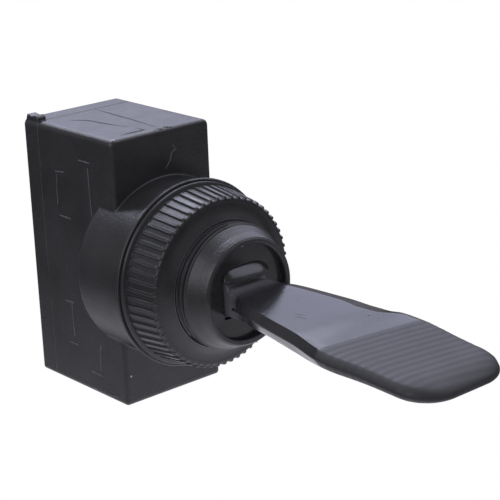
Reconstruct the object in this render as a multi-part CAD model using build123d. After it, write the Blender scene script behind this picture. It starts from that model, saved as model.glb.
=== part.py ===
from build123d import *
from math import asin, atan2, cos, degrees, hypot, pi, radians, sin, sqrt
import os

os.makedirs("parts", exist_ok=True)

# Frame: millimetres, the neck's axis is Y, the panel seat is y = 0, the user stands at -Y, +Z is up

# How far a cutting solid reaches past what it cuts, and how far joined solids run into each other
overcut = 1.0
overlap = 0.1

# Housing
body_width = 13.55
body_front = 4.22
body_back = 20.81
flange_thickness = 2.81
body_seam = body_back - flange_thickness
body_top = 15.33
body_bottom = -15.24
top_edge_round = 0.71
edge_round = 0.44
end_edge_round = 0.42
seam_gap = 0.02
wall = 1.5
cavity_front = 5.7
cavity_corner = 0.8

# Collar behind the panel
collar_radius = 10.07
collar_back = 7.17

# Neck with its thread
thread_crest_radius = 6.95
thread_root_radius = 6.6
thread_pitch = 0.75
thread_crest_width = 0.2
thread_root_width = 0.1
thread_first_groove = -6.83
thread_groove_count = 8
thread_sector = 127.0
thread_sector_middle = 156.5
thread_end = -7.18
nose_profile = [(6.76, -7.32), (6.57, -7.75), (6.28, -8.4), (6.05, -9.15), (5.93, -9.42), (5.74, -9.58)]
mouth_radius = 5.3
mouth_taper = 0.1
mouth_lip = 0.12
bore_radius = 4.5
tail_slot_start = 0.5
tail_slot_half_height = 5.6

# Web across the bore, open round the lever's hub
web_front = -8.1
web_back = -6.5
hub_end_gap = 0.1
web_opening_top = 2.1
web_opening_bottom = -2.75
web_in_wall = 0.3

# Washer and ring nut
panel_gap = 0.03
washer_thickness = 0.45
washer_radius = collar_radius + 0.48
washer_round = 0.12
nut_front = -5.14
nut_band_width = 0.34
nut_band_radius = collar_radius + 0.15
knurl_back_radius = nut_band_radius - 0.1
knurl_front_radius = knurl_back_radius - 0.51
knurl_count = 60
knurl_cutter_radius = 0.4
knurl_depth = 0.3
nut_front_round = 0.24
nut_boss_radius = 8.1
nut_boss_rise = 0.6
nut_bore_chamfer = 0.08
thread_clearance = 0.05

# Pivot
pivot_y = -7.3
pin_radius = 0.6
pin_half_length = 5.35
pin_clearance = 0.04
pin_socket_depth = 0.1

# Lever
hub_radius = 2.0
hub_half_width = 2.7
hub_end_round = 0.3
tail_half_width = 2.2
tail_half_height = 1.85
tail_back = 6.5
tail_round = 0.5
lever_swing = 13.0
half_widths = [(2.7, -8.6), (2.9, -10.0), (4.14, -12.5), (5.2, -17.5), (6.03, -22.5),
               (6.72, -26.5), (6.8, -28.2), (6.6, -30.6), (6.42, -33.5)]
tip_half_width = 6.37
tip_y = -40.45
tip_corner_radius = 4.0
tip_round = 1.0
tip_blunt = 0.3
tip_steps = 8
top_profile = [(-8.6, 1.15), (-8.9, 1.08), (-11.0, 0.85), (-13.0, 0.75), (-18.0, 0.55), (-22.5, 0.4),
               (-26.0, 0.1), (-31.0, -0.05), (-36.0, -0.35), (-41.0, -0.53)]
bottom_profile = [(-41.0, -2.5), (-36.0, -2.3), (-31.0, -2.1), (-26.5, -2.02), (-22.5, -1.96),
                  (-18.0, -1.86), (-13.0, -1.75), (-8.6, -1.6)]
gusset_profile = [(-7.6, -1.2), (-8.3, -2.2), (-9.4, -2.32), (-11.4, -2.2), (-12.8, -1.4)]
rib_count = 10
rib_first_y = -28.6
rib_pitch = 1.02
rib_skew = 0.133
rib_depth = 0.08
rib_cutter_radius = 0.75

# Plunger in the lever's tail
plunger_radius = 1.2
plunger_bore_clearance = 0.05
plunger_tip_radius = 1.0
plunger_tip_y = 12.55
plunger_shoulder_y = 3.2
plunger_cone_length = 0.6
plunger_stem_length = 2.0
plunger_bore_bottom = -3.4
plunger_travel = 0.6
spring_wire_radius = 0.17
spring_coil_radius = 0.95
spring_turns = 8

# Rocker that follows the tail
rocker_ratio = 0.46
fulcrum_y = 13.4
strip_thickness = 0.8
rocker_half_width = 2.0
rocker_half_length = 8.6
wing_front_y = 11.46
running_gap = 0.05

# Contact buttons
contact_z = 7.6
button_radius = 1.2
moving_button_thickness = 0.7
moving_button_shank_radius = 0.6
moving_button_shank_proud = 0.15
moving_button_round = 0.15
fixed_button_front = 13.83
fixed_button_round = 0.2

# Terminals and base
plate_front = body_seam - 3.3
plate_thickness = 0.8
terminal_spacing = 9.5
blade_width = 6.3
blade_thickness = 0.8
blade_x = 1.9
blade_length = 7.99
blade_back = body_back + blade_length
blade_hole_radius = 0.8
blade_hole_from_end = 4.0
blade_tip_chamfer = 0.6
plate_left_x = -2.6
slot_clearance = 0.08
plug_clearance = 0.06
rivet_x = -1.3
rivet_radius = 0.6
rivet_head_radius = 1.05
rivet_head_height = 0.35
rivet_offset = 1.6

# Cradle that holds the rocker
cradle_ear_gap = 0.12
cradle_thickness = 0.5
cradle_ear_front = 12.0
cradle_half_height = 1.3
fulcrum_round = 0.5

# Moulding flash left standing on the seam's rear corner
flash_outline = [(18.06, 15.1), (18.1, 15.7), (18.5, 15.9), (19.2, 15.74), (20.1, 15.86), (20.4, 15.1)]
flash_x = (-6.6, -5.5)


# Plain solids placed by their limits
def block(x0, x1, y0, y1, z0, z1):
    return Pos((x0 + x1) / 2, (y0 + y1) / 2, (z0 + z1) / 2) * Box(x1 - x0, y1 - y0, z1 - z0)


def rod_x(radius, x0, x1, y=0.0, z=0.0):
    return Pos((x0 + x1) / 2, y, z) * Rot(0, 90, 0) * Cylinder(radius, x1 - x0)


def rod_y(radius, y0, y1, x=0.0, z=0.0):
    return Pos(x, (y0 + y1) / 2, z) * Rot(90, 0, 0) * Cylinder(radius, y1 - y0)


# A closed outline of (radius, y) points turned about the neck's axis
def turned(points, angle=360.0, start=0.0):
    outline = make_face(Polyline(*points, close=True))
    return Rot(0, start, 0) * revolve(outline, Axis.Y, angle)


# A closed outline of (y, z) points given thickness along X
def side_plate(points, x0, x1):
    outline = make_face(Plane.YZ.offset(x0) * Polyline(*points, close=True))
    return extrude(outline, x1 - x0, dir=(1, 0, 0))


# The outer box shared by the housing and the base, with its long edges rounded
def outer_box(y0, y1):
    half = body_width / 2
    box = block(-half, half, y0, y1, body_bottom, body_top)
    long_edges = box.edges().filter_by(Axis.Y)
    box = fillet(long_edges.group_by(Axis.Z)[-1], top_edge_round)
    lower = [e for e in box.edges().filter_by(Axis.Y) if e.center().Z < body_bottom + 0.1]
    return fillet(lower, edge_round)


# Grooves of the neck's thread: only the two side sectors are threaded
def thread_grooves():
    half = (thread_pitch - thread_crest_width) / 2
    root = thread_root_width / 2
    over = thread_crest_radius + overlap
    cuts = []
    for i in range(thread_groove_count):
        y = thread_first_groove + i * thread_pitch
        points = [(over, y - half), (thread_root_radius, y - root),
                  (thread_root_radius, y + root), (over, y + half)]
        for side in (0.0, 180.0):
            start = side - thread_sector_middle - thread_sector / 2
            cuts.append(turned(points, thread_sector, start))
    return cuts


def make_housing():
    half = body_width / 2
    box = outer_box(body_front, body_seam)
    box = fillet(box.faces().sort_by(Axis.Y)[0].edges(), end_edge_round)
    front = nose_profile[-1][1]
    neck_points = [(0, overlap), (thread_crest_radius, overlap), (thread_crest_radius, thread_end)]
    neck = turned(neck_points + nose_profile + [(0, front)])
    housing = box + rod_y(collar_radius, 0, collar_back) + neck
    housing -= thread_grooves()
    cavity = block(-half + wall, half - wall, cavity_front, body_seam + overcut,
                   body_bottom + wall, body_top - wall)
    cavity = fillet(cavity.edges().filter_by(Axis.Y), cavity_corner)
    slot = block(-bore_radius, bore_radius, tail_slot_start, cavity_front + overcut,
                 -tail_slot_half_height, tail_slot_half_height)
    slot = fillet(slot.edges().filter_by(Axis.Y), cavity_corner)
    lip = mouth_radius + mouth_lip
    mouth = turned([(0, front - overcut), (lip, front - overcut), (lip, front),
                    (mouth_radius, front + mouth_lip),
                    (mouth_radius - mouth_taper, web_front), (bore_radius, web_front),
                    (bore_radius, tail_slot_start + overlap), (0, tail_slot_start + overlap)])
    housing = housing - cavity - slot - mouth + make_web()
    socket_end = pin_half_length + pin_socket_depth
    return housing - rod_x(pin_radius + pin_clearance, -socket_end, thread_crest_radius + overcut, pivot_y, 0)


# Web across the neck's bore, pierced for the hub
def make_web():
    web = rod_y(bore_radius + web_in_wall, web_front, web_back)
    side = hub_half_width + hub_end_gap
    return web - block(-side, side, web_front - overcut, web_back + overcut,
                       web_opening_bottom, web_opening_top)


# Base: a flange as wide as the housing and a plug inside it
def make_base():
    half = body_width / 2
    flange = outer_box(body_seam + seam_gap, body_back)
    flange = fillet(flange.faces().sort_by(Axis.Y)[-1].edges(), end_edge_round)
    gap = plug_clearance
    plug = block(-half + wall + gap, half - wall - gap, plate_front + plate_thickness, body_seam + overcut,
                 body_bottom + wall + gap, body_top - wall - gap)
    plug = fillet(plug.edges().filter_by(Axis.Y), cavity_corner)
    flash = side_plate(flash_outline, flash_x[0], flash_x[1])
    base = flange + plug + flash
    front = plate_front + plate_thickness - overcut
    back = body_back + overcut
    for z in (-terminal_spacing, 0.0, terminal_spacing):
        t = blade_thickness / 2 + slot_clearance
        w = blade_width / 2 + slot_clearance
        base -= block(blade_x - t, blade_x + t, front, back, z - w, z + w)
        base -= rod_y(rivet_radius + slot_clearance, front, back, rivet_x, z + rivet_shift(z))
    return base


# Rivets sit towards the outer end of each plate, clear of the contact buttons
def rivet_shift(z):
    return -rivet_offset if z < 0 else rivet_offset


# Terminal: a plate on the base's inner face, bent into a blade that leaves through the back
def make_terminal(z):
    plate_back = plate_front + plate_thickness
    half = blade_width / 2
    x1 = blade_x + blade_thickness / 2
    plate = block(plate_left_x, x1, plate_front, plate_back, z - half, z + half)
    blade = block(x1 - blade_thickness, x1, plate_front, blade_back, z - half, z + half)
    tip = blade.edges().filter_by(Axis.X).group_by(Axis.Y)[-1]
    blade = chamfer(tip, blade_tip_chamfer)
    hole_y = blade_back - blade_hole_from_end
    terminal = plate + blade - rod_x(blade_hole_radius, x1 - 2 * blade_thickness, x1 + overcut, hole_y, z)
    rivet_z = z + rivet_shift(z)
    hole = rod_y(rivet_radius + slot_clearance, plate_front - overcut, plate_back + overcut, rivet_x, rivet_z)
    return terminal - hole


def make_rivets():
    rivets = []
    for z in (-terminal_spacing, 0.0, terminal_spacing):
        at = z + rivet_shift(z)
        shank = rod_y(rivet_radius, plate_front - overlap, body_back + overlap, rivet_x, at)
        inner = rod_y(rivet_head_radius, plate_front - rivet_head_height, plate_front, rivet_x, at)
        outer = rod_y(rivet_head_radius, body_back, body_back + rivet_head_height, rivet_x, at)
        outer = chamfer(outer.edges().group_by(Axis.Y)[-1], rivet_head_height / 2)
        rivets.append(shank + inner + outer)
    return Compound(children=rivets)


def make_fixed_button(z):
    button = rod_y(button_radius, fixed_button_front, plate_front, 0, z)
    return fillet(button.edges().group_by(Axis.Y)[0], fixed_button_round)


# Cradle: a fulcrum ridge between two ears that keep the rocker in line
def make_cradle():
    inside = rocker_half_width + cradle_ear_gap
    outside = inside + cradle_thickness
    z = cradle_half_height
    floor_front = plate_front - cradle_thickness
    cradle = block(-outside, outside, floor_front, plate_front, -z, z)
    for x0, x1 in ((-outside, -inside), (inside, outside)):
        cradle += block(x0, x1, cradle_ear_front, plate_front, -z, z)
    ridge_y = fulcrum_y + running_gap + fulcrum_round
    cradle += rod_x(fulcrum_round, -inside, inside, ridge_y, 0)
    cradle += block(-inside, inside, ridge_y, plate_front, -fulcrum_round, fulcrum_round)
    hole_radius = rivet_head_radius + overlap
    return cradle - rod_y(hole_radius, floor_front - overcut, plate_front + overcut, rivet_x, rivet_offset)


# Distances in the rocker's mechanism: the plunger's tip centre moves on an arc seen from the rocker
def valley():
    reach = plunger_tip_y - plunger_tip_radius - pivot_y
    span = fulcrum_y - pivot_y
    turn = radians(lever_swing)
    k = rocker_ratio
    start = reach - span
    end_y = reach * cos((1 + k) * turn) - span * cos(k * turn)
    end_z = reach * sin((1 + k) * turn) - span * sin(k * turn)
    rise = start - end_y
    path = (rise * rise + end_z * end_z) / (2 * rise)
    centre_y = fulcrum_y + start - path
    return centre_y, fulcrum_y - strip_thickness - centre_y


# Rocker strip: a valley for the plunger and two straight wings, one outline with thickness along X
def make_rocker():
    centre_y, inner = valley()
    outer = inner + strip_thickness
    wing_back_y = wing_front_y + strip_thickness
    a = sqrt(inner ** 2 - (wing_front_y - centre_y) ** 2)
    b = sqrt(outer ** 2 - (wing_back_y - centre_y) ** 2)
    end = rocker_half_length
    lines = [
        Line((wing_front_y, -end), (wing_front_y, -a)),
        ThreePointArc((wing_front_y, -a), (centre_y + inner, 0), (wing_front_y, a)),
        Line((wing_front_y, a), (wing_front_y, end)),
        Line((wing_front_y, end), (wing_back_y, end)),
        Line((wing_back_y, end), (wing_back_y, b)),
        ThreePointArc((wing_back_y, b), (centre_y + outer, 0), (wing_back_y, -b)),
        Line((wing_back_y, -b), (wing_back_y, -end)),
        Line((wing_back_y, -end), (wing_front_y, -end)),
    ]
    outline = make_face(Plane.YZ * Wire(lines))
    strip = extrude(outline, rocker_half_width, both=True)
    for z in (-contact_z, contact_z):
        strip -= rod_y(moving_button_shank_radius, wing_front_y - overcut, wing_back_y + overcut, 0, z)
    return strip


def make_moving_button(z):
    back = wing_front_y + strip_thickness
    button = rod_y(button_radius, back, back + moving_button_thickness, 0, z)
    button = fillet(button.edges().group_by(Axis.Y)[-1], moving_button_round)
    shank = rod_y(moving_button_shank_radius, wing_front_y - moving_button_shank_proud, back + overlap, 0, z)
    return button + shank


def make_washer():
    y1 = -panel_gap
    y0 = y1 - washer_thickness
    inner = thread_crest_radius + 2 * thread_clearance
    ring = rod_y(washer_radius, y0, y1) - rod_y(inner, y0 - overcut, y1 + overcut)
    rims = [e for e in ring.edges().filter_by(GeomType.CIRCLE) if e.radius > washer_radius - overlap]
    return fillet(rims, washer_round)


# Ring nut: a tapered blank cut by rounded grooves that stop short of a plain band at the back
def make_nut():
    back = -panel_gap - washer_thickness - panel_gap
    band_front = back - nut_band_width
    inner = thread_crest_radius + thread_clearance
    boss_front = nut_front - nut_boss_rise
    r = knurl_front_radius
    blank = turned([
        (inner, back), (nut_band_radius, back), (nut_band_radius, band_front), (knurl_back_radius, band_front),
        (r, nut_front + nut_front_round), (r - nut_front_round * 0.35, nut_front + nut_front_round * 0.35),
        (r - nut_front_round, nut_front), (nut_boss_radius, nut_front),
        (inner + nut_bore_chamfer, boss_front), (inner, boss_front + nut_bore_chamfer)])
    run = band_front - nut_front
    slope = atan2(knurl_back_radius - knurl_front_radius, run)
    start_y = band_front - knurl_cutter_radius
    lift = knurl_cutter_radius - knurl_depth
    start_r = knurl_back_radius - (band_front - start_y) / run * (knurl_back_radius - knurl_front_radius) + lift
    length = run + 2
    groove = Pos(0, 0, length / 2) * Cylinder(knurl_cutter_radius, length) + Sphere(knurl_cutter_radius)
    groove = Pos(0, start_y, start_r) * Rot(90 + degrees(slope), 0, 0) * groove
    cuts = [Rot(0, i * 360 / knurl_count, 0) * groove for i in range(knurl_count)]
    return blank - cuts


# Height on an outline given as (y, z) points
def profile_height(points, y):
    for (ya, za), (yb, zb) in zip(points, points[1:]):
        if min(ya, yb) <= y <= max(ya, yb):
            return za + (zb - za) * (y - ya) / (yb - ya)
    return points[-1][1]


# How far a section lies into the rounded corners of the tip
def into_corner(y):
    return min(max(tip_y + tip_corner_radius - y, 0.0), tip_corner_radius)


# Half the blade's width at a distance along it, for an outline set inwards by a margin
def blade_half_width(y, margin=0.0):
    into = into_corner(y)
    if into > 0:
        radius = tip_corner_radius - margin
        return tip_half_width - tip_corner_radius + sqrt(max(radius ** 2 - into ** 2, 0.0))
    for (wa, ya), (wb, yb) in zip(half_widths, half_widths[1:]):
        if yb <= y <= ya:
            return wa + (wb - wa) * (y - ya) / (yb - ya) - margin
    return tip_half_width - margin


# One cross-section of the blade: flat above and below, with round ends
def blade_section(y, half_width, half_height, cap, middle):
    flat = half_width - cap
    arc = [(flat + cap * cos(a), half_height * sin(a)) for a in (radians(30 * i - 90) for i in range(7))]
    across = [(flat * (1 - i / 2), half_height) for i in (1, 2, 3)]
    upper_half = arc + across
    points = upper_half + [(-x, -z) for x, z in upper_half]
    return Wire([Spline(*[(x, y, middle + z) for x, z in points], periodic=True)])


# Lever blade: a loft through its cross-sections, which shrink to a rounded end at the tip
def make_blade():
    sections = []
    steps = [(i / tip_steps) ** 2 * (tip_corner_radius - 0.2) for i in range(tip_steps, -1, -1)]
    for y in [y for w, y in half_widths] + [tip_y + tip_corner_radius] + [tip_y + d for d in steps]:
        top = profile_height(top_profile, y)
        bottom = profile_height(bottom_profile, y)
        half_height = (top - bottom) / 2
        half_width = blade_half_width(y)
        cap = min(half_width - blade_half_width(y, half_height), half_width / 2)
        left = y - tip_y
        if left < tip_round:
            half_height *= max(sqrt(1 - (1 - left / tip_round) ** 2), tip_blunt)
            cap = max(half_width - tip_half_width + tip_corner_radius, half_height)
        sections.append(blade_section(y, half_width, half_height, cap, (top + bottom) / 2))
    return Part() + Solid.make_loft(sections, False)


# Shallow grooves across the pad, a little out of square as the photograph shows
def rib_grooves():
    cuts = []
    for i in range(rib_count):
        y = rib_first_y - i * rib_pitch
        z = profile_height(top_profile, y) + rib_cutter_radius - rib_depth
        rod = Rot(0, 90, 0) * Cylinder(rib_cutter_radius, 20)
        cuts.append(Pos(0, y, z) * Rot(0, 0, -degrees(atan2(rib_skew, 1))) * rod)
    return cuts


def make_lever():
    lever = make_blade() - rib_grooves()
    hub = rod_x(hub_radius, -hub_half_width, hub_half_width, pivot_y, 0)
    lever += fillet(hub.edges().filter_by(GeomType.CIRCLE), hub_end_round)
    lever += side_plate(gusset_profile, -hub_half_width, hub_half_width)
    tail = block(-tail_half_width, tail_half_width, pivot_y, tail_back, -tail_half_height, tail_half_height)
    tail = fillet(tail.edges().filter_by(Axis.Y), tail_round)
    lever += tail
    lever -= rod_y(plunger_radius + plunger_bore_clearance, plunger_bore_bottom, tail_back + overcut)
    return lever - rod_x(pin_radius, -hub_half_width - overcut, hub_half_width + overcut, pivot_y, 0)


def make_pin():
    pin = rod_x(pin_radius, -pin_half_length, pin_half_length, pivot_y, 0)
    return chamfer(pin.edges().filter_by(GeomType.CIRCLE), 0.15)


# Plunger: a rounded nose on a shank, with a thin stem that the spring is slipped over
def make_plunger():
    nose = Pos(0, plunger_tip_y - plunger_tip_radius, 0) * Sphere(plunger_tip_radius)
    neck_y = plunger_tip_y - plunger_tip_radius
    cone_y = neck_y - plunger_cone_length
    shank = rod_y(plunger_radius, plunger_shoulder_y, cone_y)
    cone = turned([(0, cone_y), (plunger_radius, cone_y), (plunger_tip_radius, neck_y), (0, neck_y)])
    stem_front = plunger_shoulder_y - plunger_stem_length
    stem = rod_y(spring_coil_radius - 2 * spring_wire_radius, stem_front, plunger_shoulder_y)
    return nose + shank + cone + stem


# Spring: a round wire on a helix along the plunger's axis
def make_spring():
    start = plunger_bore_bottom + spring_wire_radius
    end = plunger_shoulder_y - plunger_travel - spring_wire_radius - running_gap
    height = end - start
    path = Helix(height / spring_turns, height, spring_coil_radius)
    wire = sweep(Plane(path @ 0, z_dir=path % 0) * Circle(spring_wire_radius), path)
    return Pos(0, end, 0) * Rot(90, 0, 0) * wire


nodes = {
    "housing": make_housing(),
    "rear_base": make_base(),
    "terminal_upper": make_terminal(terminal_spacing),
    "terminal_common": make_terminal(0.0),
    "terminal_lower": make_terminal(-terminal_spacing),
    "terminal_rivets": make_rivets(),
    "fixed_button_upper": make_fixed_button(contact_z),
    "fixed_button_lower": make_fixed_button(-contact_z),
    "rocker_cradle": make_cradle(),
    "rocker_contact": make_rocker(),
    "rocker_button_upper": make_moving_button(contact_z),
    "rocker_button_lower": make_moving_button(-contact_z),
    "washer": make_washer(),
    "ring_nut": make_nut(),
    "lever": make_lever(),
    "pivot_pin": make_pin(),
    "plunger": make_plunger(),
    "plunger_spring": make_spring(),
}

for name, shape in nodes.items():
    export_step(shape, "parts/" + name + ".step")
    size = shape.bounding_box()
    print(name, [round(v, 2) for v in (*size.min, *size.max)], round(shape.volume, 2))
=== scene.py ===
import math
import bpy
import bmesh
from mathutils import Matrix, Vector


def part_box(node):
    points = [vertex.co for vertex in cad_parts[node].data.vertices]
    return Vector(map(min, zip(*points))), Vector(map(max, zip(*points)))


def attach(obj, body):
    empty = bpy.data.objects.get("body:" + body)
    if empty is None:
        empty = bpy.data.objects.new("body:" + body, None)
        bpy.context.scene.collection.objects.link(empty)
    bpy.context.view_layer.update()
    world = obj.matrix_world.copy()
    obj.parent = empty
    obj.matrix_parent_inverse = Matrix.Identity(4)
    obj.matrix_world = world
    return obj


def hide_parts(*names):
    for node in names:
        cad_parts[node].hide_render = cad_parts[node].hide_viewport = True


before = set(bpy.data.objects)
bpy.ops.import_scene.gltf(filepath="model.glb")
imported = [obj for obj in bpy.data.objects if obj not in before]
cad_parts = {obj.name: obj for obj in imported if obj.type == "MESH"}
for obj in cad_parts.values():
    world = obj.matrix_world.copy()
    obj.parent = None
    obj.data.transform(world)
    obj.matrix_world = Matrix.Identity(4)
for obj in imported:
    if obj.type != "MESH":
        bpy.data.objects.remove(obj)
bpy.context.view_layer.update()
mm = 0.001  # the frame is in metres, and the values below are in millimetres
print("stage: frame loaded")


# Colours and nodes

def toLinear(code):
    channels = [int(code[i:i + 2], 16) / 255 for i in (1, 3, 5)]
    return [c / 12.92 if c <= 0.04045 else ((c + 0.055) / 1.055) ** 2.4 for c in channels] + [1.0]


def addNode(tree, kind, links=None, **settings):
    # a setting is an attribute of the node, or else an input, with an underscore for a space in its name
    node = tree.nodes.new(kind)
    for name, value in settings.items():
        if hasattr(node, name):
            setattr(node, name, value)
        else:
            node.inputs[name.replace("_", " ")].default_value = value
    for name, source in (links or {}).items():
        tree.links.new(source, node.inputs[name])
    return node


def newMaterial(name):
    material = bpy.data.materials.new(name)
    material.use_nodes = True
    tree = material.node_tree
    tree.nodes.clear()
    shader = addNode(tree, "ShaderNodeBsdfPrincipled")
    addNode(tree, "ShaderNodeOutputMaterial", {"Surface": shader.outputs[0]})
    where = addNode(tree, "ShaderNodeTexCoord")
    return material, tree, shader, where


def nodesOf(material):
    # what a later layer needs to find again in a finished material
    tree = material.node_tree
    shader = next(n for n in tree.nodes if n.type == "BSDF_PRINCIPLED")
    where = next(n for n in tree.nodes if n.type == "TEX_COORD")
    return tree, shader, where


def setRamp(ramp, stops):
    for element, (position, colour) in zip(ramp.color_ramp.elements, stops):
        element.position = position
        element.color = toLinear(colour)


# Moulded plastics

plasticLook = {
    "housing": dict(dark="#1c1c1c", light="#252526", roughLow=0.3, roughHigh=0.42,
                    grainMm=0.24, grainBump=0.3, edgeHighlightAndWear=0.6, specular=0.5),
    "nut": dict(dark="#1c1c1c", light="#262627", roughLow=0.26, roughHigh=0.38,
                grainMm=0.22, grainBump=0.22, edgeHighlightAndWear=0.7, specular=0.5),
    "mark": dict(dark="#1f1f1f", light="#2a2a2b", roughLow=0.3, roughHigh=0.4,
                 grainMm=0.2, grainBump=0.1, edgeHighlightAndWear=1.3, specular=0.5),
    "mouth": dict(dark="#1c1c1c", light="#252526", roughLow=0.16, roughHigh=0.24,
                  grainMm=0.2, grainBump=0.12, edgeHighlightAndWear=0.3, specular=0.5),
    "lever": dict(dark="#1c1c1d", light="#262627", roughLow=0.12, roughHigh=0.18,
                  grainMm=0.26, grainBump=0.1, edgeHighlightAndWear=0.0, specular=0.45),
}
# dustShare is how many of the cells hold a speck, and dustSize its largest radius as a share of a cell
plasticSkin = dict(cloudMm=6, smearMm=2.5, dustMm=1.5, dustShare=0.2, dustSize=0.09, dustColour="#8a8b90",
                   edgeMm=0.16, edgeHighlightColour="#6d6e74", bumpMm=0.1, ior=1.52)


def mouldedPlastic(name, look):
    # black plastic from a steel mould: a faint cloud of colour, specks of dust, edges painted a paler grey as
    # a painted highlight along them with some rubbed wear, an even satin skin, and a fine grain that is drawn
    # coarser than the real one so that it shows
    skin = plasticSkin
    material, tree, shader, where = newMaterial(name)
    point = where.outputs["Object"]
    cloud = addNode(tree, "ShaderNodeTexNoise", {"Vector": point},
                    Scale=1 / (skin["cloudMm"] * mm), Detail=4, Roughness=0.6)
    colour = addNode(tree, "ShaderNodeValToRGB", {"Fac": cloud.outputs["Fac"]})
    setRamp(colour, [(0.3, look["dark"]), (0.7, look["light"])])
    cells = addNode(tree, "ShaderNodeTexVoronoi", {"Vector": point}, Scale=1 / (skin["dustMm"] * mm))
    pick = addNode(tree, "ShaderNodeSeparateColor", {"Color": cells.outputs["Color"]})
    few = addNode(tree, "ShaderNodeMapRange", {"Value": pick.outputs["Red"]},
                  From_Min=1 - skin["dustShare"], From_Max=1.0, To_Min=0.0, To_Max=skin["dustSize"])
    dust = addNode(tree, "ShaderNodeMath", {0: cells.outputs["Distance"], 1: few.outputs["Result"]},
                   operation="LESS_THAN")
    dusty = addNode(tree, "ShaderNodeMix", {"Factor": dust.outputs[0], "A": colour.outputs["Color"]},
                    data_type="RGBA")
    dusty.inputs[7].default_value = toLinear(skin["dustColour"])
    # edge mask: a painted highlight along the edges in a paler grey, partly rubbed wear
    rounded = addNode(tree, "ShaderNodeBevel", samples=4, Radius=skin["edgeMm"] * mm)
    flat = addNode(tree, "ShaderNodeNewGeometry")
    turn = addNode(tree, "ShaderNodeVectorMath",
                   {0: rounded.outputs["Normal"], 1: flat.outputs["Normal"]}, operation="DOT_PRODUCT")
    edge = addNode(tree, "ShaderNodeMapRange", {"Value": turn.outputs["Value"]},
                   From_Min=0.99, From_Max=0.86, To_Min=0.0, To_Max=look["edgeHighlightAndWear"])
    highlitAndRubbed = addNode(tree, "ShaderNodeMath", {0: edge.outputs["Result"], 1: cloud.outputs["Fac"]},
                     operation="MULTIPLY")
    worn = addNode(tree, "ShaderNodeMix", {"Factor": highlitAndRubbed.outputs[0], "A": dusty.outputs[2]},
                   data_type="RGBA")
    worn.inputs[7].default_value = toLinear(skin["edgeHighlightColour"])
    tree.links.new(worn.outputs[2], shader.inputs["Base Color"])
    smear = addNode(tree, "ShaderNodeTexNoise", {"Vector": point},
                    Scale=1 / (skin["smearMm"] * mm), Detail=6, Roughness=0.65)
    rough = addNode(tree, "ShaderNodeMapRange", {"Value": smear.outputs["Fac"]},
                    From_Min=0.3, From_Max=0.7, To_Min=look["roughLow"], To_Max=look["roughHigh"])
    tree.links.new(rough.outputs["Result"], shader.inputs["Roughness"])
    grain = addNode(tree, "ShaderNodeTexNoise", {"Vector": point},
                    Scale=1 / (look["grainMm"] * mm), Detail=2)
    bump = addNode(tree, "ShaderNodeBump", {"Height": grain.outputs["Fac"]},
                   Strength=look["grainBump"], Distance=skin["bumpMm"] * mm)
    tree.links.new(bump.outputs["Normal"], shader.inputs["Normal"])
    shader.inputs["IOR"].default_value = skin["ior"]
    shader.inputs["Specular IOR Level"].default_value = look["specular"]
    return material


# Bare metals, seen at the back and inside

metalLook = {
    "tinnedBrass": dict(dark="#a9a8a4", light="#c9c8c4", roughLow=0.25, roughHigh=0.42, lineMm=0.12),
    "turnedBrass": dict(dark="#a07c3e", light="#c79f58", roughLow=0.25, roughHigh=0.4, lineMm=0.1),
    "rolledCopper": dict(dark="#9c5f3c", light="#bd7d55", roughLow=0.28, roughHigh=0.42, lineMm=0.15),
    "contactSilver": dict(dark="#bdbcb8", light="#dddcd8", roughLow=0.2, roughHigh=0.35, lineMm=0.1),
    "groundSteel": dict(dark="#8e8f90", light="#adaeb0", roughLow=0.2, roughHigh=0.34, lineMm=0.08),
}
metalSkin = dict(patchMm=2, stretch=0.08, lineBump=0.08, bumpMm=0.05)


def bareMetal(name, look):
    # strip, wire or rod straight off the press: rolling lines along y, wide enough to show, and patches
    # of handling
    skin = metalSkin
    material, tree, shader, where = newMaterial(name)
    point = where.outputs["Object"]
    patch = addNode(tree, "ShaderNodeTexNoise", {"Vector": point}, Scale=1 / (skin["patchMm"] * mm), Detail=3)
    colour = addNode(tree, "ShaderNodeValToRGB", {"Fac": patch.outputs["Fac"]})
    setRamp(colour, [(0.35, look["dark"]), (0.65, look["light"])])
    tree.links.new(colour.outputs["Color"], shader.inputs["Base Color"])
    stretch = addNode(tree, "ShaderNodeMapping", {"Vector": point}, Scale=(1, skin["stretch"], 1))
    lines = addNode(tree, "ShaderNodeTexNoise", {"Vector": stretch.outputs["Vector"]},
                    Scale=1 / (look["lineMm"] * mm), Detail=2)
    rough = addNode(tree, "ShaderNodeMapRange", {"Value": lines.outputs["Fac"]},
                    From_Min=0.3, From_Max=0.7, To_Min=look["roughLow"], To_Max=look["roughHigh"])
    tree.links.new(rough.outputs["Result"], shader.inputs["Roughness"])
    bump = addNode(tree, "ShaderNodeBump", {"Height": lines.outputs["Fac"]},
                   Strength=skin["lineBump"], Distance=skin["bumpMm"] * mm)
    tree.links.new(bump.outputs["Normal"], shader.inputs["Normal"])
    shader.inputs["Metallic"].default_value = 1.0
    return material


# Layers that one piece has on top of its plastic

layerLook = {
    "turning": dict(frontMm=-5.9, fadeMm=0.3, lineMm=0.16, wander=0.035, strength=0.35, depthMm=0.1),
    "softEdge": dict(radiusMm=0.42, fromMm=4.1, fadeMm=0.1),
    "pad": dict(startMm=-27.1, fadeMm=0.35, pitchMm=1.02, skew=0.133, roughTop=0.5, roughGroove=0.6),
    # the hub's colour is painted light: a paler grey in place of light on the hub in the mouth
    "hub": dict(stemMm=-11.6, hubMm=-9.9, colour="#515154", rough=0.45),
}


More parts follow.
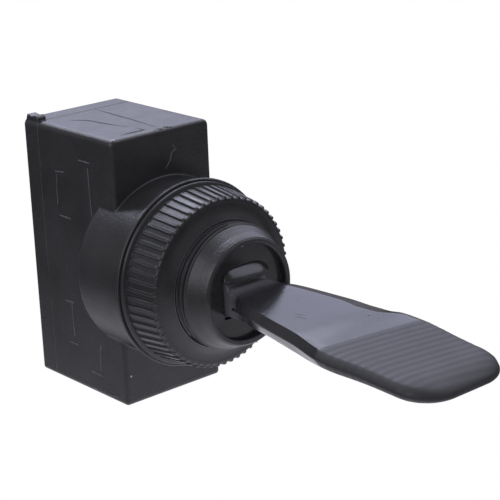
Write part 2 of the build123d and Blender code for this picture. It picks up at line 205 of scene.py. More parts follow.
def addTurningLines(material, look):
    # the neck's mould was turned on a lathe: fine rings, drawn coarse enough to show, in front of the nut
    tree, shader, where = nodesOf(material)
    bump = shader.inputs["Normal"].links[0].from_node
    axes = addNode(tree, "ShaderNodeSeparateXYZ", {"Vector": where.outputs["Object"]})
    along = addNode(tree, "ShaderNodeCombineXYZ", {"X": axes.outputs["Y"]})
    wander = addNode(tree, "ShaderNodeMapping", {"Vector": where.outputs["Object"]},
                     Scale=(look["wander"], 0.0, look["wander"]))
    path = addNode(tree, "ShaderNodeVectorMath", {0: along.outputs[0], 1: wander.outputs[0]},
                   operation="ADD")
    rings = addNode(tree, "ShaderNodeTexNoise", {"Vector": path.outputs[0]},
                    Scale=1 / (look["lineMm"] * mm), Detail=2)
    onNeck = addNode(tree, "ShaderNodeMapRange", {"Value": axes.outputs["Y"]},
                     From_Min=look["frontMm"] * mm, From_Max=(look["frontMm"] - look["fadeMm"]) * mm,
                     To_Min=0.0, To_Max=1.0)
    depth = addNode(tree, "ShaderNodeMath", {0: rings.outputs["Fac"], 1: onNeck.outputs["Result"]},
                    operation="MULTIPLY")
    second = addNode(tree, "ShaderNodeBump",
                     {"Height": depth.outputs[0], "Normal": bump.outputs["Normal"]},
                     Strength=look["strength"], Distance=look["depthMm"] * mm)
    tree.links.new(second.outputs["Normal"], shader.inputs["Normal"])


def addSoftEdges(material, look):
    # a worn mould rounds the long edges of the body; the collar and the neck in front of it stay crisp
    tree, shader, where = nodesOf(material)
    last = shader.inputs["Normal"].links[0].from_node
    while last.inputs["Normal"].links:
        last = last.inputs["Normal"].links[0].from_node
    axes = addNode(tree, "ShaderNodeSeparateXYZ", {"Vector": where.outputs["Object"]})
    onBody = addNode(tree, "ShaderNodeMapRange", {"Value": axes.outputs["Y"]},
                     From_Min=look["fromMm"] * mm, From_Max=(look["fromMm"] + look["fadeMm"]) * mm,
                     To_Min=0.0, To_Max=1.0)
    rounded = addNode(tree, "ShaderNodeBevel", samples=8, Radius=look["radiusMm"] * mm)
    flat = addNode(tree, "ShaderNodeNewGeometry")
    blend = addNode(tree, "ShaderNodeMix", {"Factor": onBody.outputs["Result"]}, data_type="VECTOR")
    tree.links.new(flat.outputs["Normal"], blend.inputs[4])
    tree.links.new(rounded.outputs["Normal"], blend.inputs[5])
    tree.links.new(blend.outputs[1], last.inputs["Normal"])


def addRoughPad(material, look):
    # thumb pad: the ribbed end is duller than the stem, with the grooves duller again
    tree, shader, where = nodesOf(material)
    smooth = shader.inputs["Roughness"].links[0].from_socket
    axes = addNode(tree, "ShaderNodeSeparateXYZ", {"Vector": where.outputs["Object"]})
    skew = addNode(tree, "ShaderNodeMath", {0: axes.outputs["X"]}, operation="MULTIPLY")
    skew.inputs[1].default_value = look["skew"]
    along = addNode(tree, "ShaderNodeMath", {0: axes.outputs["Y"], 1: skew.outputs[0]}, operation="ADD")
    onPad = addNode(tree, "ShaderNodeMapRange", {"Value": along.outputs[0]},
                    From_Min=look["startMm"] * mm, From_Max=(look["startMm"] - look["fadeMm"]) * mm,
                    To_Min=0.0, To_Max=1.0)
    turns = addNode(tree, "ShaderNodeMath", {0: along.outputs[0]}, operation="MULTIPLY")
    turns.inputs[1].default_value = 2 * math.pi / (look["pitchMm"] * mm)
    shifted = addNode(tree, "ShaderNodeMath", {0: turns.outputs[0]}, operation="ADD")
    shifted.inputs[1].default_value = 2 * math.pi * -look["startMm"] / look["pitchMm"]
    wave = addNode(tree, "ShaderNodeMath", {0: shifted.outputs[0]}, operation="COSINE")
    groove = addNode(tree, "ShaderNodeMapRange", {"Value": wave.outputs[0]},
                     From_Min=-1.0, From_Max=1.0, To_Min=look["roughTop"], To_Max=look["roughGroove"])
    blend = addNode(tree, "ShaderNodeMix",
                    {"Factor": onPad.outputs["Result"], "A": smooth, "B": groove.outputs["Result"]})
    tree.links.new(blend.outputs["Result"], shader.inputs["Roughness"])


def addPaintedLightOnHub(material, look):
    # painted light: the hub in the mouth is painted a paler grey than the stem in front of it, standing in
    # for light that falls on it there, and is made duller
    tree, shader, where = nodesOf(material)
    colour = shader.inputs["Base Color"].links[0].from_socket
    rough = shader.inputs["Roughness"].links[0].from_socket
    axes = addNode(tree, "ShaderNodeSeparateXYZ", {"Vector": where.outputs["Object"]})
    onHubPaintedLight = addNode(tree, "ShaderNodeMapRange", {"Value": axes.outputs["Y"]},
                    From_Min=look["stemMm"] * mm, From_Max=look["hubMm"] * mm, To_Min=0.0, To_Max=1.0)
    paintedLighter = addNode(tree, "ShaderNodeMix", {"Factor": onHubPaintedLight.outputs["Result"], "A": colour},
                    data_type="RGBA")
    paintedLighter.inputs[7].default_value = toLinear(look["colour"])
    duller = addNode(tree, "ShaderNodeMix", {"Factor": onHubPaintedLight.outputs["Result"], "A": rough})
    duller.inputs["B"].default_value = look["rough"]
    tree.links.new(paintedLighter.outputs[2], shader.inputs["Base Color"])
    tree.links.new(duller.outputs["Result"], shader.inputs["Roughness"])


housingPlastic = mouldedPlastic("mouldedHousingPlastic", plasticLook["housing"])
addTurningLines(housingPlastic, layerLook["turning"])
addSoftEdges(housingPlastic, layerLook["softEdge"])
mouthPlastic = mouldedPlastic("mouldedMouthPlastic", plasticLook["mouth"])
# the marks' edges are painted paler still: a painted highlight along the raised threads
markPlastic = mouldedPlastic("highlitFlashPlastic", plasticLook["mark"])
nutPlastic = mouldedPlastic("mouldedNutPlastic", plasticLook["nut"])
leverPlastic = mouldedPlastic("mouldedLeverPlastic", plasticLook["lever"])
addRoughPad(leverPlastic, layerLook["pad"])
# paints light on the hub: a paler grey where it lies in shade
addPaintedLightOnHub(leverPlastic, layerLook["hub"])
metals = {name: bareMetal(name, look) for name, look in metalLook.items()}

finishes = {
    "housing": housingPlastic, "rear_base": housingPlastic, "ring_nut": nutPlastic, "washer": nutPlastic,
    "lever": leverPlastic, "pivot_pin": metals["groundSteel"], "plunger": metals["turnedBrass"],
    "plunger_spring": metals["groundSteel"], "rocker_contact": metals["rolledCopper"],
    "rocker_cradle": metals["rolledCopper"], "terminal_rivets": metals["turnedBrass"],
}
for node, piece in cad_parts.items():  # what isn't named above is a contact button or a blade
    finish = finishes.get(node, metals["contactSilver"] if "button" in node else metals["tinnedBrass"])
    piece.data.materials.clear()
    piece.data.materials.append(finish)
print("stage: materials on the frame")


# Shapes are closed skins over rings of points, in millimetres

def circle(radius, step):
    turns = [math.radians(a) for a in range(0, 360, step)]
    return [(radius * math.cos(turn), radius * math.sin(turn)) for turn in turns]


def meshOf(name, parts, material, sharp=35.0):
    # each part is (rings, capped), and the rings of a part all have the same number of points
    shape = bmesh.new()
    for rings, capped in parts:
        rows = [[shape.verts.new(Vector(p) * mm) for p in ring] for ring in rings]
        for low, high in zip(rows, rows[1:]):
            for i in range(len(low)):
                k = (i + 1) % len(low)
                shape.faces.new((low[i], low[k], high[k], high[i]))
        if capped:
            shape.faces.new(rows[0])
            shape.faces.new(rows[-1][::-1])
        else:  # the last ring joins the first one
            for i in range(len(rows[0])):
                k = (i + 1) % len(rows[0])
                shape.faces.new((rows[-1][i], rows[-1][k], rows[0][k], rows[0][i]))
    bmesh.ops.recalc_face_normals(shape, faces=shape.faces)
    mesh = bpy.data.meshes.new(name)
    shape.to_mesh(mesh)
    shape.free()
    mesh.shade_smooth()
    mesh.set_sharp_from_angle(angle=math.radians(sharp))
    mesh.materials.append(material)
    piece = bpy.data.objects.new(name, mesh)
    bpy.context.scene.collection.objects.link(piece)
    return piece


# Lever: flat stem, crowned pad with ribs, round tip

leverShape = {  # lines are (y, value) pairs that run from the hub to the tip
    "halfWidth": [(-8.6, 2.7), (-10.0, 2.9), (-12.5, 4.14), (-17.5, 5.2), (-22.5, 6.03), (-26.5, 6.72),
                  (-28.2, 6.8), (-30.6, 6.6), (-33.5, 6.42), (-36.45, 6.37)],
    "topLine": [(-8.6, 1.15), (-8.9, 1.08), (-11.0, 0.85), (-13.0, 0.75), (-18.0, 0.55), (-22.5, 0.4),
                (-26.0, 0.1), (-31.0, -0.05), (-36.0, -0.35), (-41.0, -0.53)],
    "underLine": [(-8.6, -1.6), (-13.0, -1.75), (-18.0, -1.86), (-22.5, -1.96), (-26.5, -2.02),
                  (-31.0, -2.1), (-36.0, -2.3), (-41.0, -2.5)],
    # a wide soft roll on the left, and a narrow steep edge outside it
    "leftSoft": [(-8.6, 0.3), (-20.0, 0.5), (-25.0, 1.7), (-29.0, 2.6), (-38.0, 3.0)],
    "leftSoftDepth": [(-8.6, 0.0), (-20.0, 0.03), (-25.0, 0.15), (-29.0, 0.38), (-38.0, 0.5)],
    "leftEdge": [(-8.6, 0.35), (-14.0, 0.45), (-20.0, 0.58), (-25.0, 0.62), (-38.0, 0.66)],
    "leftEdgeDepth": [(-8.6, 0.5), (-14.0, 0.65), (-20.0, 0.72), (-25.0, 0.66), (-29.0, 0.58),
                      (-38.0, 0.55)],
    "rightRound": [(-8.6, 1.3), (-19.0, 1.5), (-22.0, 2.1), (-23.6, 2.0), (-25.6, 0.9), (-28.0, 0.9),
                   (-38.0, 1.6)],
    "rightDepth": [(-8.6, 0.24), (-19.0, 0.28), (-22.0, 0.42), (-23.6, 0.4), (-25.6, 0.12), (-28.0, 0.2),
                   (-33.0, 0.6), (-37.0, 0.9)],
    "fullness": [(-8.6, 0.0), (-24.0, 0.05), (-30.0, 1.0), (-38.0, 1.0)],  # 0 is a flat chamfer, 1 a round
    "underDepth": [(-8.6, 0.9), (-14.0, 1.25), (-22.0, 1.35), (-26.0, 1.15), (-29.0, 1.05),
                   (-36.0, 0.85)],
    "underRound": 0.85, "underAtTip": 0.65, "underFullness": 0.5, "edgeFullness": 0.6,
    "crown": 0.08, "edgeShare": 0.45,  # no edge takes more of half the width than this share
    "tip": -40.45, "tipCorner": 4.0, "tipHalf": 6.37, "tipRoll": 3.4, "tipDepth": 1.25,
    "ribs": 11, "ribFirst": -27.6, "ribPitch": 1.02, "ribSkew": 0.133, "ribDepth": 0.014, "ribPower": 1.6,
    "ribFade": (1.2, 3.2),  # the ribs start this far in from the left edge and are full this much later
    "stemRings": (-8.6, 0.4, 46), "padRings": (-26.8, 0.12, 81),  # first y, step, how many
    "tipRings": 30,
    "edgePoints": 10, "flatPoints": 40, "underPoints": 30,
    "hubRadius": 2.06, "hubHalf": 2.76, "hubY": -7.3, "hubRound": 0.1,
    "hubEnds": [(1.0, 1.0), (0.985, 0.45), (0.955, 0.15), (0.9, 0.0)],  # shares of the half and the round
    "apronRadius": 2.7, "apronInner": 1.4, "apronFrom": 196, "apronTo": 312, "apronSteps": 16,
    "apronOver": 1.007,  # its half width as a share of the hub's
    "gusset": [(-7.6, -1.2), (-8.3, -2.1), (-9.4, -2.16), (-11.4, -2.1), (-12.8, -1.4)],
    "gussetRound": (0.12, 0.1), "gussetFloor": -1.5,  # points under this height are rounded
    "tailHalf": (2.2, 1.85), "tailCorners": 6, "tailBack": 6.5, "tailRound": (0.15, 0.94),
    "boreRadius": 1.25, "boreBottom": -3.4,
}


def smoothLine(points, y):
    # value at y on a smooth line through the pairs, which never swings past them
    if y >= points[0][0]:
        return points[0][1]
    if y <= points[-1][0]:
        return points[-1][1]
    i = next(k for k in range(len(points) - 1) if points[k + 1][0] <= y)
    slopes = [(b[1] - a[1]) / (b[0] - a[0]) for a, b in zip(points, points[1:])]

    def lean(k):
        if k == 0 or k == len(points) - 1:
            return slopes[min(k, len(slopes) - 1)]
        if slopes[k - 1] * slopes[k] <= 0:
            return 0.0
        return 2 * slopes[k - 1] * slopes[k] / (slopes[k - 1] + slopes[k])

    (ya, va), (yb, vb) = points[i], points[i + 1]
    step = yb - ya
    t = (y - ya) / step
    return ((2 * t ** 3 - 3 * t ** 2 + 1) * va + (t ** 3 - 2 * t ** 2 + t) * step * lean(i)
            + (3 * t ** 2 - 2 * t ** 3) * vb + (t ** 3 - t ** 2) * step * lean(i + 1))


def intoTip(y):
    # how far a ring lies into the round corners of the tip
    return min(max(leverShape["tip"] + leverShape["tipCorner"] - y, 0.0), leverShape["tipCorner"])


def leverHalfWidth(y):
    corner = leverShape["tipCorner"]
    into = intoTip(y)
    if into > 0:
        return leverShape["tipHalf"] - corner + math.sqrt(max(corner ** 2 - into ** 2, 0.0))
    return smoothLine(leverShape["halfWidth"], y)


def leverInset(x, y):
    # distance from the outline seen from above, and where the nearest edge lies: 0 is a side, 1 the front
    look = leverShape
    corner, half = look["tipCorner"], look["tipHalf"]
    if y >= look["tip"] + corner:
        return leverHalfWidth(y) - abs(x), 0.0
    over = abs(x) - (half - corner)
    if over <= 0:
        return y - look["tip"], 1.0
    return corner - math.hypot(over, intoTip(y)), math.atan2(intoTip(y), over) / (math.pi / 2)


def rollOver(inset, reach, depth, fullness):
    # how far an edge has dropped at an inset from it
    if inset >= reach:
        return 0.0
    share = 1 - max(inset, 0.0) / reach
    return depth * (share * (1 - fullness) + fullness * (1 - math.sqrt(max(1 - share * share, 0.0))))


def ribDip(x, y):
    along = (leverShape["ribFirst"] - y - leverShape["ribSkew"] * x) / leverShape["ribPitch"]
    if along < -0.5 or along > leverShape["ribs"] - 0.5:
        return 0.0
    phase = along - math.floor(along + 0.5)
    start, over = leverShape["ribFade"]
    fade = min(max((leverHalfWidth(y) + x - start) / over, 0.0), 1.0)
    return leverShape["ribDepth"] * fade * max(0.0, math.cos(math.pi * phase)) ** leverShape["ribPower"]


def leverDrop(x, y):
    # how far the top lies under the crown: soft roll and steep edge on the left, one round on the right
    look = leverShape
    inset, front = leverInset(x, y)
    left = x < 0
    fullness = smoothLine(look["fullness"], y)
    reach = smoothLine(look["leftSoft" if left else "rightRound"], y) * (1 - front)
    reach += look["tipRoll"] * front
    depth = smoothLine(look["leftSoftDepth" if left else "rightDepth"], y) * (1 - front)
    depth += look["tipDepth"] * front
    drop = rollOver(inset, reach, depth, 1.0 if left else fullness)
    if left:
        width, height = smoothLine(look["leftEdge"], y), smoothLine(look["leftEdgeDepth"], y)
        drop += rollOver(inset, width, height, look["edgeFullness"] * fullness) * (1 - front)
    return drop


def leverRing(y):
    look = leverShape
    half = leverHalfWidth(y)
    top, under = smoothLine(look["topLine"], y), smoothLine(look["underLine"], y)
    fullness = smoothLine(look["fullness"], y)
    widest = look["edgeShare"] * half
    left, right = (min(smoothLine(look[name], y), widest) for name in ("leftEdge", "rightRound"))
    count, flat = look["edgePoints"], look["flatPoints"]
    across = [-half + left * (1 - math.cos(math.pi * i / (2 * count))) for i in range(count)]
    across += [-half + left + (2 * half - left - right) * i / flat for i in range(flat + 1)]
    across += [half - right * math.cos(math.pi * i / (2 * count)) for i in range(1, count + 1)]
    ring = []
    for x in across:
        crown = look["crown"] * (x / max(half, 1e-6)) ** 2
        ring.append((x, y, top - crown - leverDrop(x, y) - ribDip(x, y)))
    lower = []
    for i in range(look["underPoints"] + 1):  # back under from right to left
        x = half * math.sin(math.radians(90 - 180 * i / look["underPoints"]))
        inset, front = leverInset(x, y)
        depth = smoothLine(look["underDepth"], y) * (1 - (1 - look["underAtTip"]) * front)
        rise = rollOver(inset, look["underRound"], depth, look["underFullness"] * fullness)
        lower.append((x, y, under + rise))
    leftTop, leftLow = ring[0][2], lower[-1][2]
    rightTop, rightLow = ring[-1][2], lower[0][2]
    rightWall = [(half, y, rightTop + (rightLow - rightTop) * i / 4) for i in (1, 2, 3)]
    leftWall = [(-half, y, leftLow + (leftTop - leftLow) * i / 4) for i in (1, 2, 3)]
    return ring + rightWall + lower + leftWall


def leverBlade():
    look = leverShape
    steps = []
    for first, step, count in (look["stemRings"], look["padRings"]):
        steps += [first - step * i for i in range(count)]
    turns = [math.radians(90 * i / look["tipRings"]) for i in range(1, look["tipRings"] + 1)]
    steps += [look["tip"] + look["tipCorner"] * (1 - math.sin(turn)) for turn in turns]
    return [leverRing(y) for y in steps]


def leverHub():
    look = leverShape
    ends = look["hubEnds"]
    rings = []
    for along, pull in [(-a, p) for a, p in ends] + ends[::-1]:
        radius = look["hubRadius"] - pull * look["hubRound"]
        rings.append([(along * look["hubHalf"], look["hubY"] + y, z) for y, z in circle(radius, step=6)])
    return rings


def leverApron():
    # part of a drum round the pivot, which fills the opening under the hub at every tilt
    look = leverShape
    swing, steps = look["apronTo"] - look["apronFrom"], look["apronSteps"]
    turns = [math.radians(look["apronFrom"] + swing * i / steps) for i in range(steps + 1)]
    rim = [(look["apronRadius"] * math.cos(a), look["apronRadius"] * math.sin(a)) for a in turns]
    rim += [(look["apronInner"] * math.cos(a), look["apronInner"] * math.sin(a)) for a in turns[::-1]]
    half = look["apronOver"] * look["hubHalf"]
    return [[(x, look["hubY"] + y, z) for y, z in rim] for x in (-half, half)]


def leverGusset():
    look = leverShape
    half = look["hubHalf"]
    inwards, pull = look["gussetRound"]
    rings = []
    for x, lift in ((-half, pull), (-half + inwards, 0.0), (half - inwards, 0.0), (half, pull)):
        rings.append([(x, y, z + (lift if z < look["gussetFloor"] else 0.0)) for y, z in look["gusset"]])
    return rings


def leverTail():
    # square rod with round corners, bored from the back for the plunger
    look = leverShape
    halfX, halfZ = look["tailHalf"]
    power = look["tailCorners"]
    outer = []
    for c, s in circle(1.0, step=10):
        grow = (abs(c) ** power + abs(s) ** power) ** (-1 / power)
        outer.append((halfX * c * grow, halfZ * s * grow))
    inner = circle(look["boreRadius"], step=10)
    roundLong, roundShare = look["tailRound"]
    back = look["tailBack"]
    small = [(x * roundShare, z * roundShare) for x, z in outer]
    stations = ((outer, look["hubY"]), (outer, back - roundLong), (small, back), (inner, back),
                (inner, look["boreBottom"]))
    return [[(x, y, z) for x, z in line] for line, y in stations]


leverParts = [leverBlade(), leverHub(), leverApron(), leverGusset(), leverTail()]
leverPiece = meshOf("leverMoulding", [(part, True) for part in leverParts], leverPlastic)
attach(leverPiece, "lever")
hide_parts("lever")
print("stage: lever")


# Ring nut: thin ribs with round front ends, a plain band behind them

nutShape = {
    "bore": 7.0, "back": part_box("ring_nut")[1].y / mm, "front": -5.14, "seatRadius": 9.2,
    "bandWidth": 0.34, "bandRadius": 10.22, "bandRound": 0.05, "bandCorner": 0.06,
    "grooveBack": 9.76, "grooveFront": 9.24, "rimRound": 0.35, "rimStep": 0.08, "rimLip": 0.02,
    "bossRadius": 8.1, "bossRise": 0.6, "bossShoulder": (0.45, 0.5), "boreRound": 0.05,
    "ribs": 60, "samples": 24, "ribRise": 0.26, "ribFlat": 0.34, "ribFoot": 0.56,
    "ribSteps": [  # share of the way to the front, share of the rib's height, share of its width
        (0.02, 0.0, 1), (0.05, 0.35, 1), (0.09, 0.75, 1), (0.14, 0.95, 1), (0.2, 1.0, 1), (0.45, 1.0, 1),
        (0.7, 1.0, 1), (0.86, 1.0, 1), (0.9, 1.0, 0.97), (0.94, 0.98, 0.88), (0.965, 0.92, 0.76),
        (0.985, 0.8, 0.6), (1.0, 0.5, 0.4)],
}


def ribHeight(angle, width):
    look = nutShape
    phase = angle * look["ribs"] / (2 * math.pi)
    off = abs(phase - round(phase)) * 2 / width  # 0 on a rib, 1 in the middle of a groove
    if off <= look["ribFlat"]:
        return 1.0
    if off >= look["ribFoot"]:
        return 0.0
    t = (off - look["ribFlat"]) / (look["ribFoot"] - look["ribFlat"])
    return 0.5 + 0.5 * math.cos(math.pi * t)


def nutProfile():
    # (y, radius, rise of the ribs, width of the ribs), from the bore at the back round to its front end
    look = nutShape
    back, front, band = look["back"], look["front"], look["bandRadius"]
    bandFront = back - look["bandWidth"]
    behind = [(back, look["bore"]), (back, look["seatRadius"]), (back, band - look["bandCorner"]),
              (back - look["bandRound"], band), (bandFront + look["bandRound"], band),
              (bandFront, band - look["bandRound"])]
    profile = [(y, radius, 0.0, 1) for y, radius in behind]
    run = bandFront - front
    for share, rise, width in look["ribSteps"]:
        y = bandFront - run * share
        radius = look["grooveBack"] + (look["grooveFront"] - look["grooveBack"]) * share
        step = look["rimStep"] if share == 1.0 else look["rimLip"] if share > 0.98 else 0.0
        profile.append((y, radius - step, rise * look["ribRise"], width))
    rise, (shoulder, inwards) = look["bossRise"], look["bossShoulder"]
    ahead = [(front, look["grooveFront"] - look["rimRound"]), (front, look["bossRadius"]),
             (front - rise * shoulder, look["bossRadius"] - inwards),
             (front - rise, look["bore"] + look["boreRound"]),
             (front - rise + look["boreRound"], look["bore"])]
    return profile + [(y, radius, 0.0, 1) for y, radius in ahead]


def nutRings():
    count = nutShape["ribs"] * nutShape["samples"]
    angles = [2 * math.pi * i / count for i in range(count)]
    rings = []
    for y, radius, rise, width in nutProfile():
        ring = []
        for angle in angles:
            r = radius + rise * ribHeight(angle, width) if rise else radius
            ring.append((r * math.cos(angle), y, r * math.sin(angle)))
        rings.append(ring)
    return rings


nutPiece = meshOf("ringNutMoulding", [(nutRings(), False)], nutPlastic, sharp=50.0)
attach(nutPiece, "nut")
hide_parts("ring_nut")
print("stage: ring nut")


# Floor of the mouth, with a low hood over the hub

mouthLook = {
    "radius": 5.22, "front": -8.75, "back": -8.02, "lean": 0.04,
    "openHalf": 2.86, "openTop": 1.78, "openBottom": -2.64, "openBottomBack": -2.72, "middle": -0.5,
    "hoodHalf": 3.25, "hoodFoot": 1.8, "hoodLow": 0.05, "hoodPowers": (3.2, 0.6), "hoodRings": 33,
    "hood": [(-8.6, 3.05), (-8.85, 2.98), (-9.02, 2.85), (-9.32, 2.56), (-9.68, 2.2), (-9.92, 1.92),
             (-10.02, 1.74), (-9.94, 1.62)],  # (y, z) across the middle
    "hoodBack": [(0.2, -0.06), (0.3, 0.0)],  # closes the hood inside the floor
}


def openingLine(look, bottom):
    # the rectangle that the hub stands in, as points at equal turns so that it joins the round edge
    line = []
    for c, s in circle(1.0, step=3):
        height = look["openTop"] - look["middle"] if s > 0 else look["middle"] - bottom
        reach = min(look["openHalf"] / max(abs(c), 1e-6), height / max(abs(s), 1e-6))
        line.append((reach * c, look["middle"] + reach * s))
    return line


def mouthParts():
    look = mouthLook
    front, foot = look["front"], look["hoodFoot"]
    outer = circle(look["radius"], step=3)
    inner, innerBack = openingLine(look, look["openBottom"]), openingLine(look, look["openBottomBack"])
    stations = ((outer, look["back"]), (outer, front), (inner, front + look["lean"]),
                (innerBack, look["back"]))
    floor = [[(x, y, z) for x, z in line] for line, y in stations]
    steep, power = look["hoodPowers"]
    hood = []
    for i in range(look["hoodRings"]):
        share = 2 * i / (look["hoodRings"] - 1) - 1
        bulge = max(1 - abs(share) ** steep, 0.0) ** power
        grow = look["hoodLow"] + (1 - look["hoodLow"]) * bulge  # low at both ends
        x = share * look["hoodHalf"]
        ring = [(x, front + (y - front) * grow, foot + (z - foot) * grow) for y, z in look["hood"]]
        hood.append(ring + [(x, front + y, foot + z) for y, z in look["hoodBack"]])
    return [(floor, False), (hood, True)]


mouthPiece = meshOf("mouthFloor", mouthParts(), mouthPlastic, sharp=40.0)
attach(mouthPiece, "body")
print("stage: mouth")


# Marks of moulding and wear, as thin raised threads of plastic

markLook = {
    "thread": {"halfWidth": 0.11, "rise": 0.08, "sunk": 0.1},
    "leftFace": -6.775, "frontFace": 4.22, "topFace": 15.33,
    "onTop": [  # (x, y) on the upper face
        [(1.2, 17.9), (1.06, 14.8), (0.93, 10.9), (0.45, 5.4)],
        [(-3.9, 15.6), (-2.6, 14.0), (-2.3, 11.6), (-1.8, 9.2), (-1.5, 8.1)],
        [(-1.1, 7.3), (-1.2, 5.6), (-4.4, 5.7)],
        [(-0.7, 4.5), (-0.1, 4.9), (0.3, 4.45), (0.8, 4.95), (1.3, 4.5), (1.8, 4.8)],
        [(-0.3, 4.9), (0.5, 4.6), (1.1, 5.0), (1.7, 4.4)]],
    "onLeft": [  # (y, z) on the long side
        [(10.5, 12.2), (8.45, 12.2)], [(8.8, 11.6), (8.6, 6.1)], [(14.9, 9.8), (15.05, 6.2)],
        [(15.1, 10.1), (13.4, 10.3)], [(14.8, 5.05), (12.7, 5.0)], [(15.1, -5.2), (13.3, -5.1)],
        [(13.7, -5.2), (13.6, -9.25)], [(14.7, -10.2), (13.0, -10.2)], [(8.6, -9.0), (8.95, -12.25)],
        [(10.7, -12.8), (8.6, -12.8)], [(10.4, -14.8), (5.8, -14.6)]],
    "onFront": [  # (x, z) on the front face
        [(1.45, 13.3), (2.0, 12.9), (1.4, 12.6), (1.06, 11.7), (0.45, 10.9)]],
}
leverMarkLook = {
    "thread": {"halfWidth": 0.07, "rise": 0.035, "sunk": 0.08},
    "lines": [[(-2.05, -18.48), (-1.79, -19.81)], [(-2.5, -19.25), (-2.16, -20.64)]],
    "dots": [(-1.75, -14.54, 0.09), (3.14, -24.05, 0.1), (-3.3, -14.1, 0.08), (0.6, -16.2, 0.05),
             (1.9, -13.6, 0.05)],  # (x, y, radius)
    "dotSteps": [(-0.06, 1.0), (0.01, 0.95), (0.035, 0.6), (0.042, 0.15)],  # height, share of the radius
}
threadShape = {"step": 0.4, "thinEnd": 0.25, "endShare": 0.15,
               "waver": 0.3, "waverTurn": 2.7}  # the width wavers by this share, radians a step


def threadOnFace(points, place, outward, halfWidth, rise, sunk):
    # a low half-round thread along a line: place turns a flat point into space, outward leaves the face
    look = threadShape
    stations = []
    for (a, b), (c, d) in zip(points, points[1:]):
        count = max(2, int(math.hypot(c - a, d - b) / look["step"]))
        stations += [(a + (c - a) * i / count, b + (d - b) * i / count) for i in range(count)]
    stations.append(points[-1])
    last = len(stations) - 1
    section = ((-1.0, -sunk), (-0.9, 0.0), (-0.5, 0.8 * rise), (0.0, rise), (0.5, 0.8 * rise), (0.9, 0.0),
               (1.0, -sunk))
    rings = []
    for i, here in enumerate(stations):
        before, after = stations[max(i - 1, 0)], stations[min(i + 1, last)]
        run = math.hypot(after[0] - before[0], after[1] - before[1])
        side = (-(after[1] - before[1]) / run, (after[0] - before[0]) / run)
        full = min(1.0, 3 * min(i, last - i) / len(stations) + look["endShare"])
        taper = look["thinEnd"] + (1 - look["thinEnd"]) * full
        width = halfWidth * taper * (1 + look["waver"] * math.sin(look["waverTurn"] * i))
        ring = []
        for across, height in section:
            flat = (here[0] + side[0] * across * width, here[1] + side[1] * across * width)
            ring.append(tuple(p + o * height * taper for p, o in zip(place(*flat), outward)))
        rings.append(ring)
    return rings, True


def leverTop(x, y):
    return smoothLine(leverShape["topLine"], y) - leverShape["crown"] * (x / leverHalfWidth(y)) ** 2


def placeOnLever(x, y):
    return x, y, leverTop(x, y)


def placeOnTop(x, y):
    return x, y, markLook["topFace"]


def placeOnLeft(y, z):
    return markLook["leftFace"], y, z


def placeOnFront(x, z):
    return x, markLook["frontFace"], z


def dotOnLever(x, y, radius):
    rings = []
    for lift, share in leverMarkLook["dotSteps"]:
        line = circle(radius * share, step=36)
        rings.append([(x + dx, y + dy, leverTop(x, y) + lift) for dx, dy in line])
    return rings, True


scratches = [threadOnFace(line, placeOnLever, (0, 0, 1), **leverMarkLook["thread"])
             for line in leverMarkLook["lines"]]
scratches += [dotOnLever(*dot) for dot in leverMarkLook["dots"]]
scratchPiece = meshOf("leverMarks", scratches, leverPlastic, sharp=60.0)
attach(scratchPiece, "lever")

marks = []
for lines, place, outward in (("onTop", placeOnTop, (0, 0, 1)), ("onLeft", placeOnLeft, (-1, 0, 0)),
                              ("onFront", placeOnFront, (0, -1, 0))):
    marks += [threadOnFace(line, place, outward, **markLook["thread"]) for line in markLook[lines]]
marksPiece = meshOf("mouldMarks", marks, markPlastic, sharp=60.0)
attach(marksPiece, "body")
print("stage: marks")


# Camera, floor and light

camera = {
    "lensMm": 115.92, "sensorMm": 36.0, "placeMm": (-104.025, -130.631, 57.246),
    "right": (0.7493, -0.66123, -0.03647), "down": (-0.23314, -0.21184, -0.94909),
    "ahead": (0.61984, 0.71966, -0.31289),
}
lens = bpy.data.cameras.new("camera")
lens.lens = camera["lensMm"]
lens.sensor_width = camera["sensorMm"]
lens.clip_start = 0.005
eye = bpy.data.objects.new("camera", lens)
bpy.context.scene.collection.objects.link(eye)
turn = Matrix((Vector(camera["right"]), -Vector(camera["down"]), -Vector(camera["ahead"]))).transposed()
eye.matrix_world = Matrix.Translation(Vector(camera["placeMm"]) * mm) @ turn.to_4x4()
bpy.context.scene.camera = eye

studio = {
    "floorMm": -45.0, "floorSizeMm": 6000.0, "floorColour": "#f2f2f4",
    "roomLevel": 0.85, "roomInGloss": 0.29, "roomColour": "#ececf4",
    "sheetMiddleMm": (22, -18, -45), "sheetReachMm": 200, "sheetColour": "#f0f0fa",
    "sheetBright": 1.2, "sheetDim": 0.05,
}
white = (1, 1, 1, 1)

floorMesh = bpy.data.meshes.new("floor")
half = studio["floorSizeMm"] * mm / 2
level = studio["floorMm"] * mm
corners = [(x * half, y * half, level) for x, y in ((-1, -1), (1, -1), (1, 1), (-1, 1))]
floorMesh.from_pydata(corners, [], [(0, 1, 2, 3)])
floor = bpy.data.objects.new("floor", floorMesh)
bpy.context.scene.collection.objects.link(floor)

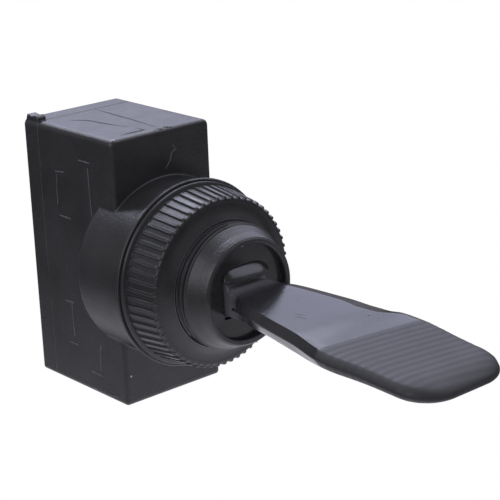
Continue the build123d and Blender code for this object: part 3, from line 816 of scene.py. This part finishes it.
# matt card: white to the lens, and in reflections brightest just under the object
paper = bpy.data.materials.new("whitePaperSweep")
paper.use_nodes = True
tree = paper.node_tree
tree.nodes.clear()
where = addNode(tree, "ShaderNodeTexCoord")
reach = addNode(tree, "ShaderNodeVectorMath", {0: where.outputs["Object"]}, operation="DISTANCE")
reach.inputs[1].default_value = Vector(studio["sheetMiddleMm"]) * mm
bright = addNode(tree, "ShaderNodeMapRange", {"Value": reach.outputs["Value"]},
                 interpolation_type="SMOOTHSTEP", From_Min=0.0, From_Max=studio["sheetReachMm"] * mm,
                 To_Min=studio["sheetBright"], To_Max=studio["sheetDim"])
rays = addNode(tree, "ShaderNodeLightPath")
matt = addNode(tree, "ShaderNodeBsdfDiffuse", Color=toLinear(studio["floorColour"]))
sheen = addNode(tree, "ShaderNodeEmission", {"Strength": bright.outputs["Result"]},
                Color=toLinear(studio["sheetColour"]))
glow = addNode(tree, "ShaderNodeEmission", Color=white, Strength=1.0)
inGloss = addNode(tree, "ShaderNodeMixShader",
                  {0: rays.outputs["Is Glossy Ray"], 1: matt.outputs[0], 2: sheen.outputs[0]})
mix = addNode(tree, "ShaderNodeMixShader",
              {0: rays.outputs["Is Camera Ray"], 1: inGloss.outputs[0], 2: glow.outputs[0]})
addNode(tree, "ShaderNodeOutputMaterial", {"Surface": mix.outputs[0]})
floorMesh.materials.append(paper)

# the room: white to the lens and dim in what the object reflects
world = bpy.data.worlds.new("studio")
bpy.context.scene.world = world
world.use_nodes = True
tree = world.node_tree
tree.nodes.clear()
rays = addNode(tree, "ShaderNodeLightPath")
roomColour = toLinear(studio["roomColour"])
room = addNode(tree, "ShaderNodeBackground", Color=roomColour, Strength=studio["roomLevel"])
dim = addNode(tree, "ShaderNodeBackground", Color=roomColour, Strength=studio["roomInGloss"])
clear = addNode(tree, "ShaderNodeBackground", Color=white, Strength=1.0)
inGloss = addNode(tree, "ShaderNodeMixShader",
                  {0: rays.outputs["Is Glossy Ray"], 1: room.outputs[0], 2: dim.outputs[0]})
mix = addNode(tree, "ShaderNodeMixShader",
              {0: rays.outputs["Is Camera Ray"], 1: inGloss.outputs[0], 2: clear.outputs[0]})
addNode(tree, "ShaderNodeOutputWorld", {"Surface": mix.outputs[0]})

softboxes = {  # millimetres; a level of 1 looks white in a mirror
    "back": dict(place=(480, 480, 300), size=(700, 340), level=1.48, colour="#dcdeff"),
    "backHigh": dict(place=(60, 390, 430), size=(430, 280), level=4.8, colour="#e4e6fd"),
    "top": dict(place=(260, 60, 480), size=(820, 560), level=1.9, colour="#e6e8fb"),
    "left": dict(place=(-430, 0, 260), size=(380, 380), level=2.1, colour="#eeeef8"),
}
for name, box in softboxes.items():
    light = bpy.data.lights.new(name, "AREA")
    light.shape = "RECTANGLE"
    light.size, light.size_y = (s * mm for s in box["size"])
    light.energy = box["level"] * math.pi * box["size"][0] * box["size"][1] * mm * mm
    light.color = toLinear(box["colour"])[:3]
    lamp = bpy.data.objects.new(name, light)
    bpy.context.scene.collection.objects.link(lamp)
    lamp.location = Vector(box["place"]) * mm
    lamp.rotation_euler = (-lamp.location).to_track_quat("-Z", "Y").to_euler()  # towards the object

bpy.context.scene.view_settings.view_transform = "Standard"
print("stage: camera and light")
